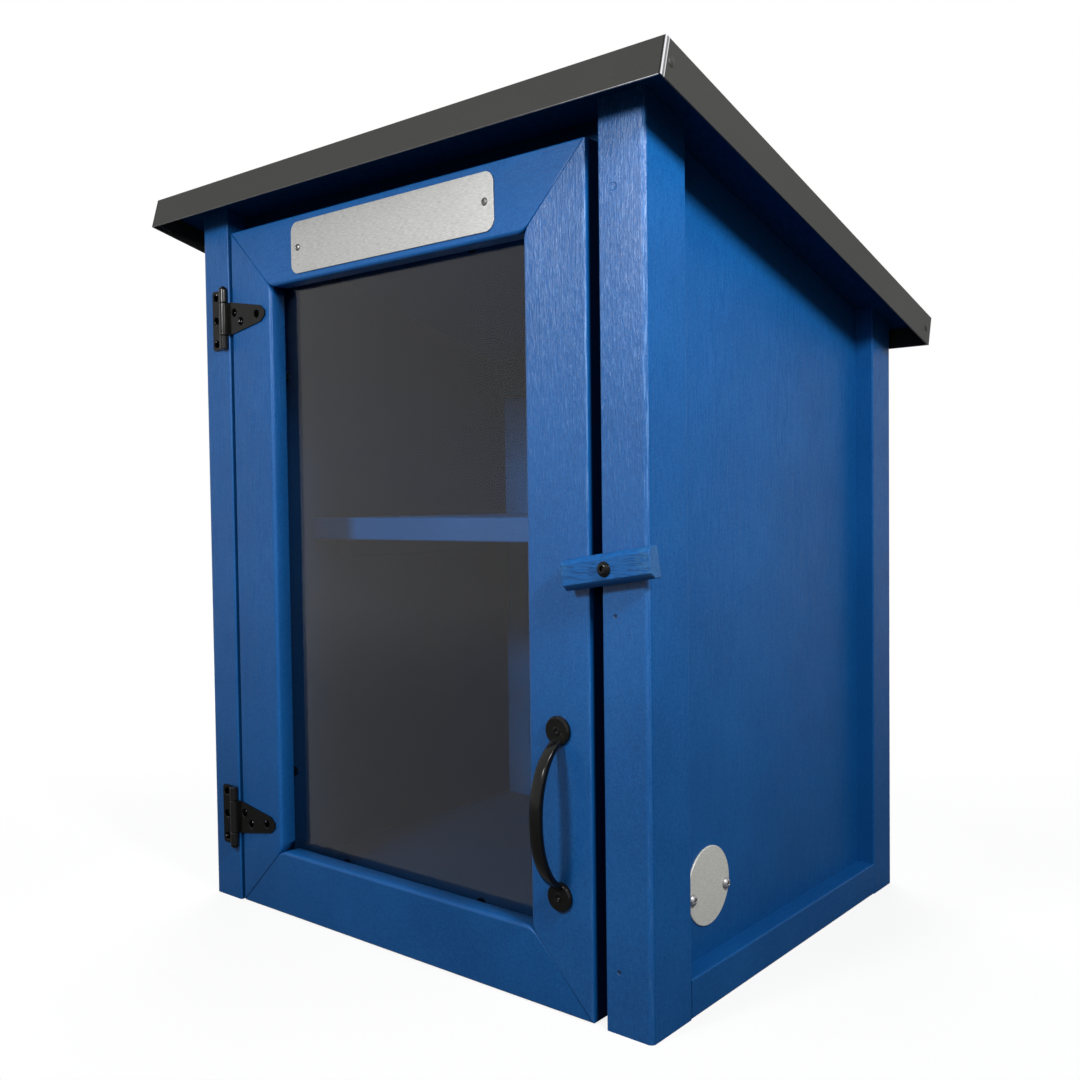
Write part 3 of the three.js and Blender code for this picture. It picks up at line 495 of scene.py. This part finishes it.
def bronze():
    """The handle's near-black bronze, with a copper glint where a hand has worn it."""
    finish = Finish("handle_bronze")
    peel = finish.noise(500, detail=2)
    rub = finish.noise(160, detail=2)
    low = finish.within(finish.away(GRIP_FOOT), GRIP_FOOT_REACH)
    worn = finish.times(low, finish.spread(rub, 0.42, 0.6))
    return finish.surface({
        "Base Color": finish.mix(worn, BRONZE, COPPER), "Metallic": worn,
        "Roughness": finish.spread(rub, 0.3, 0.7, 0.1, 0.2),
        "Normal": finish.bump(peel, 0.02), "Specular IOR Level": 0.22,
    })


# Bare sheet and screws: the two colours between which the brushing runs
PLATE = ((0.34, 0.34, 0.33), (0.50, 0.50, 0.49))
DISC = ((0.62, 0.62, 0.57), (0.82, 0.82, 0.76))
ZINC = ((0.25, 0.25, 0.26), (0.45, 0.45, 0.46))
SCREW_ZINC = ((0.07, 0.07, 0.07), (0.30, 0.30, 0.30))


def brushed(name, colours, gloss, along=EVEN, metal=0.7):
    """Bare sheet with fine brushing along an axis."""
    finish = Finish(name)
    lines = finish.noise(2200, along, detail=2)
    fine = finish.noise(1300, detail=1)
    cloud = finish.noise(25, detail=3)
    colour = finish.mix(finish.spread(lines, 0.3, 0.7), *colours)
    colour = finish.mix(finish.spread(cloud, 0.5, 0.8, 0, 0.3), colour, colours[0])
    return finish.surface({
        "Base Color": colour, "Metallic": metal,
        "Roughness": finish.spread(fine, 0.3, 0.7, gloss - 0.06, gloss + 0.08),
        "Normal": finish.bump(fine, 0.015),
    })


# The pane
PANE_IOR = 1.29
PANE_TINT = (0.94, 0.96, 0.96, 1)


def clear_pane():
    """Clear sheet that lets lamps and scattered light straight through."""
    finish = Finish("clear_pane")
    shader = finish.add("ShaderNodeBsdfPrincipled", {
        "Base Color": (1, 1, 1, 1), "Roughness": 0.0, "Transmission Weight": 1.0, "IOR": PANE_IOR,
    })
    see = finish.add("ShaderNodeBsdfTransparent", {"Color": PANE_TINT}).outputs["BSDF"]
    path = finish.add("ShaderNodeLightPath").outputs
    surface = shader.outputs["BSDF"]
    for ray in ("Is Diffuse Ray", "Is Shadow Ray"):
        mixed = finish.add("ShaderNodeMixShader", {0: path[ray], 1: surface, 2: see})
        surface = mixed.outputs["Shader"]
    finish.add("ShaderNodeOutputMaterial", {"Surface": surface})
    return finish.material


paint_x = painted_wood("paint_along_x", ALONG_X, relief=0.09)
paint_z = painted_wood("paint_along_z", ALONG_Z, relief=0.12)
paint_coarse = painted_wood("paint_coarse", ALONG_Z, relief=0.3, gloss=0.36, shine=0.42, painted_light=True)
latch_paint = worn_latch()
paint_under = shaded_wood()
painted_shade_inside = inside_wood("painted_shade_inside", INSIDE)
painted_shade_back = inside_wood("painted_shade_back", INSIDE_BACK)
paint_side_y = painted_wood("paint_side_y", ALONG_Y, relief=0.08, gloss=0.45, shine=0.12)
paint_side_z = painted_wood("paint_side_z", ALONG_Z, relief=0.08, gloss=0.45, shine=0.12)
painted_shade_edge = edge_in_gap()
roof_coat = powder_coat()
bare_edge = cut_edge()
hinge_black = black_coat("hinge_black", HINGE_BLACK, gloss=0.12, level=0.12)
screw_black = black_coat("screw_black", SCREW_BLACK, gloss=0.15, level=0.0, glints=True)
button_black = black_coat("button_black", BUTTON_BLACK, gloss=0.2, level=0.15)
handle_bronze = bronze()
plate = brushed("plate", PLATE, gloss=0.45, along=ALONG_X)
disc = brushed("disc", DISC, gloss=0.42, along=ALONG_Y, metal=0.2)
zinc = brushed("zinc", ZINC, gloss=0.35)
screw_zinc = brushed("screw_zinc", SCREW_ZINC, gloss=0.25)
pane = clear_pane()

# Which finish each node takes, by how its name starts. The first that fits counts.
FINISHES = (
    (("door_pane",), pane),
    (("roof_cap", "roof_rivet"), roof_coat),
    (("roof_deck",), paint_under),
    (("latch_bar",), latch_paint),
    # Painted shade: the header and the pieces inside take a darkened coat
    (("floor_board", "shelf_cleat", "back_rail", "front_header"), painted_shade_inside),
    (("hinge_leaf_screw", "hinge_strap_screw"), screw_black),
    (("latch_screw", "handle_screw"), button_black),
    (("hinge",), hinge_black),
    (("pull_handle",), handle_bronze),
    (("sign_plate",), plate),
    (("medallion_disc",), disc),
    (("sign_screw",), screw_zinc),
    (("medallion_screw", "latch_washer"), zinc),
    (("door_rail", "front_sill", "shelf_board"), paint_x),
    (("side_rail",), paint_side_y),
    (("side_panel", "back_trim", "back_panel"), paint_side_z),
    (("door_stile_latch", "front_post_right"), paint_coarse),
)


def finish_of(name):
    return next((finish for starts, finish in FINISHES if name.startswith(starts)), paint_z)


# Pieces that stand for the CAD nodes, most of them with eased edges
WOOD_EASE = 0.8
SHEET_EASE = 0.4
EASES = (
    (("door", "hinge", "handle", "pull_handle", "latch_screw", "latch_washer"), 0),
    (("sign_screw", "medallion_screw", "roof_rivet"), 0),
    (("roof_cap", "sign_plate", "medallion_disc"), SHEET_EASE),
)
EASE_STEPS = 3
SHARP = math.radians(60)
SMOOTH = math.radians(40)
FLAT = math.radians(0.5)
SHORTEST_EDGE = 4
MERGE = 0.01

# Faces that take another finish than the rest of their node, by the way they face; most are painted
# shade inside the cabinet and in the door's gap
SECOND = 1
UNCHANGED = -1
FACING = 0.9
OTHER_FACES = {
    "back_panel": (Vector((0, -1, 0)), painted_shade_back),
    "side_panel_left": (Vector((1, 0, 0)), painted_shade_inside),
    "side_panel_right": (Vector((-1, 0, 0)), painted_shade_inside),
    "front_post_right": (Vector((1, 0, 0)), paint_side_z),
    "door_stile_latch": (Vector((1, 0, 0)), painted_shade_edge),
}

# The roof sheet's cut edges are narrower than this. The side flanges' lower rims keep their coat.
CUT_WIDTH = 1.4
RIM_MARGIN = 2
RIM_FACING = -0.5


def ease_of(name):
    return next((ease for starts, ease in EASES if name.startswith(starts)), WOOD_EASE)


def ease_edges(bm, width, finish_index):
    """Rounds the long sharp edges, first those beside a second finish, with an index of their own."""
    for beside, index in ((True, finish_index), (False, UNCHANGED)):
        chosen = [
            edge for edge in bm.edges
            if edge.is_manifold and edge.is_convex and edge.calc_face_angle() > SHARP
            and edge.calc_length() > SHORTEST_EDGE * MM
            and beside == any(face.material_index == SECOND for face in edge.link_faces)
        ]
        bmesh.ops.bevel(
            bm, geom=chosen, offset=width * MM, offset_type="OFFSET", segments=EASE_STEPS,
            profile=0.5, affect="EDGES", clamp_overlap=True, material=index,
        )


def smooth_shading(piece):
    piece.data.shade_smooth()
    piece.data.set_sharp_from_angle(angle=SMOOTH)
    weighted = piece.modifiers.new("weighted_normals", "WEIGHTED_NORMAL")
    weighted.keep_sharp = True


def is_cut_edge(face):
    side = abs(face.calc_center_median().x) > CAP_SIDE - RIM_MARGIN * MM
    width = 2 * face.calc_area() / face.calc_perimeter()
    return width < CUT_WIDTH * MM and not (side and face.normal.z < RIM_FACING)


def second_finish(name, bm):
    """Marks the faces of a node that take another finish, and gives that finish."""
    if name == "roof_cap":
        chosen, other = [face for face in bm.faces if is_cut_edge(face)], bare_edge
    elif name in OTHER_FACES:
        direction, other = OTHER_FACES[name]
        chosen = [face for face in bm.faces if face.normal.dot(direction) > FACING]
    else:
        return None
    for face in chosen:
        face.material_index = SECOND
    return other


def add_piece(name, bm, finishes):
    """Turns a bmesh into a smoothly shaded piece of the scene."""
    mesh = bpy.data.meshes.new(name)
    bm.to_mesh(mesh)
    bm.free()
    for finish in finishes:
        mesh.materials.append(finish)
    piece = bpy.data.objects.new(name, mesh)
    scene.collection.objects.link(piece)
    smooth_shading(piece)
    return piece


def eased_copy(name):
    bm = bmesh.new()
    bm.from_mesh(nodes[name].data)
    bmesh.ops.remove_doubles(bm, verts=bm.verts, dist=MERGE * MM)
    bmesh.ops.dissolve_limit(bm, angle_limit=FLAT, verts=bm.verts, edges=bm.edges)
    other = second_finish(name, bm)
    if ease_of(name) > 0:
        ease_edges(bm, ease_of(name), SECOND if name == "roof_cap" else UNCHANGED)
    finishes = [finish_of(name)] if other is None else [finish_of(name), other]
    piece = add_piece(name + "_eased", bm, finishes)
    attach(piece, nodes[name]["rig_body"])
    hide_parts(name)


def dress_nodes():
    """Gives each node its finish, and a copy of each but the pane to stand for it."""
    for name, node in nodes.items():
        node.data.materials.clear()
        node.data.materials.append(finish_of(name))
        if name != "door_pane":
            eased_copy(name)


# Pan-head screws that hold the pane, in the back margin of the door frame
DOOR_BACK = 19
STILE_SCREWS_X = (95.5, 390.5)
STILE_SCREWS_Z = (478, 124)
RAIL_SCREWS_X = (165, 321)
RAIL_SCREWS_Z = (53.5, 557)
PANE_SCREWS = [(x, z) for x in STILE_SCREWS_X for z in STILE_SCREWS_Z]
PANE_SCREWS += [(x, z) for z in RAIL_SCREWS_Z for x in RAIL_SCREWS_X]

# A screw's head as rings of a radius and a height, and the cross recess in it
HEAD_RINGS = ((4.2, 0), (4.2, 1.2), (3.7, 2.4), (2.4, 3.1))
HEAD_SIDES = 20
CROSS_REACH = 1.9
CROSS_HALF = 0.45
CROSS_DEPTH = 1.4
CROSS_TAPER = 0.7


def cross_outline():
    points = []
    for turn in range(4):
        spin = Matrix.Rotation(turn * math.pi / 2, 2)
        for u, v in ((CROSS_REACH, -CROSS_HALF), (CROSS_REACH, CROSS_HALF), (CROSS_HALF, CROSS_HALF)):
            points.append(spin @ Vector((u, v)))
    return points


def pane_screw(number, x, z):
    """A pan head with a cross recess, turned to the back of the door."""
    bm = bmesh.new()
    start = at(x, DOOR_BACK, z)

    def ring(points, height):
        return [bm.verts.new(start + Vector((u, height, v)) * MM) for u, v in points]

    steps = [2 * math.pi * i / HEAD_SIDES for i in range(HEAD_SIDES)]
    rings = [
        ring([(radius * math.cos(a), radius * math.sin(a)) for a in steps], height)
        for radius, height in HEAD_RINGS
    ]
    top = HEAD_RINGS[-1][1]
    rim = ring(cross_outline(), top)
    deep = ring([(CROSS_TAPER * u, CROSS_TAPER * v) for u, v in cross_outline()], top - CROSS_DEPTH)
    for lower, upper in (*zip(rings, rings[1:]), (rim, deep)):
        for i, (low, high) in enumerate(zip(lower, upper)):
            after = (i + 1) % len(lower)
            bm.faces.new((low, high, upper[after], lower[after]))
    bm.faces.new(rings[0])
    bm.faces.new(deep)
    loop_edges = [
        bm.edges.get((loop[i - 1], loop[i]))
        for loop in (rings[-1], rim) for i in range(len(loop))
    ]
    bmesh.ops.triangle_fill(bm, edges=loop_edges, use_beauty=True)
    bmesh.ops.recalc_face_normals(bm, faces=bm.faces)
    piece = add_piece(f"pane_screw_{number}", bm, [screw_black])
    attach(piece, "door")


# Floor and world: whites seen by the camera, and distances over the floor in millimetres
FLOOR_HALF = 6000
FLOOR_MIDDLE = (246, 200, 0)
FLOOR_ALBEDO = 0.15
FLOOR_WHITE_NEAR = 0.86
FLOOR_WHITE_FAR = 1.0
FLOOR_WHITE_REACH = (500, 2200)
FLOOR_MIRRORED_NEAR = 0.1
FLOOR_MIRRORED_REACH = (500, 3200)
WORLD_FILL = 0.05
WORLD_FILL_TINT = (0.95, 0.98, 1, 1)


def seen_directly(finish, mirrored=1.0):
    """1 for rays of the camera and those through the pane, and a share for mirrored ones."""
    path = finish.add("ShaderNodeLightPath").outputs
    seen = finish.math("MAXIMUM", path["Is Camera Ray"], path["Is Transmission Ray"])
    seen = finish.math("MAXIMUM", seen, finish.times(path["Is Glossy Ray"], mirrored))
    return finish.times(seen, finish.math("LESS_THAN", path["Diffuse Depth"], 0.5))


def floor_finish():
    """Matt floor that takes shadows. Where it is seen directly, the white world shows through too."""
    finish = Finish("floor")
    grey = (FLOOR_ALBEDO, FLOOR_ALBEDO, FLOOR_ALBEDO, 1)
    shade = finish.add("ShaderNodeBsdfDiffuse", {"Color": grey}).outputs["BSDF"]
    away = finish.away(FLOOR_MIDDLE)
    white = finish.within(away, FLOOR_WHITE_REACH, FLOOR_WHITE_NEAR, FLOOR_WHITE_FAR)
    through = finish.add("ShaderNodeBsdfTransparent", {"Color": white}).outputs["BSDF"]
    lit = finish.add("ShaderNodeAddShader", {0: shade, 1: through}).outputs["Shader"]
    mirrored = finish.within(away, FLOOR_MIRRORED_REACH, FLOOR_MIRRORED_NEAR, 1)
    both = finish.add("ShaderNodeMixShader", {0: seen_directly(finish, mirrored), 1: shade, 2: lit})
    finish.add("ShaderNodeOutputMaterial", {"Surface": both.outputs["Shader"]})
    return finish.material


def make_floor():
    bm = bmesh.new()
    bmesh.ops.create_grid(bm, x_segments=1, y_segments=1, size=FLOOR_HALF * MM)
    mesh = bpy.data.meshes.new("floor")
    bm.to_mesh(mesh)
    bm.free()
    mesh.materials.append(floor_finish())
    floor = bpy.data.objects.new("floor", mesh)
    scene.collection.objects.link(floor)


def make_world():
    """A faint cool fill on the object, and plain white where the world is seen directly."""
    world = bpy.data.worlds.new("studio")
    scene.world = world
    studio = Finish("studio", world)
    fill = studio.add("ShaderNodeBackground", {"Color": WORLD_FILL_TINT, "Strength": WORLD_FILL})
    white = studio.add("ShaderNodeBackground", {"Color": (1, 1, 1, 1), "Strength": 1.0})
    both = studio.add("ShaderNodeMixShader", {
        0: seen_directly(studio), 1: fill.outputs["Background"], 2: white.outputs["Background"],
    })
    studio.add("ShaderNodeOutputWorld", {"Surface": both.outputs["Shader"]})


# Round lamps: name, place and target on the cabinet, size in metres, watts, spread in degrees
LAMPS = (
    ("lamp_front", (273, -800, 753), (480, 0, 560), 0.18, 6.2, 180),
    ("lamp_side", (1192, -200, 885), (492, 40, 560), 0.22, 5.8, 140),
    ("lamp_room", (900, -1000, 950), (400, 0, 400), 0.5, 2.0, 180),
    ("lamp_back", (-700, 1400, 1000), (246, 200, 300), 1.8, 34, 180),
)


def add_lamp(name, place, target, size, watts, spread):
    data = bpy.data.lights.new(name, "AREA")
    data.shape = "DISK"
    data.size = size
    data.energy = watts
    data.spread = math.radians(spread)
    lamp = bpy.data.objects.new(name, data)
    scene.collection.objects.link(lamp)
    lamp.location = at(*place)
    lamp.rotation_euler = (at(*target) - at(*place)).to_track_quat("-Z", "Y").to_euler()


make_camera()
dress_nodes()
for number, (x, z) in enumerate(PANE_SCREWS, start=1):
    pane_screw(number, x, z)
make_floor()
make_world()
for lamp in LAMPS:
    add_lamp(*lamp)
scene.view_settings.view_transform = "Standard"
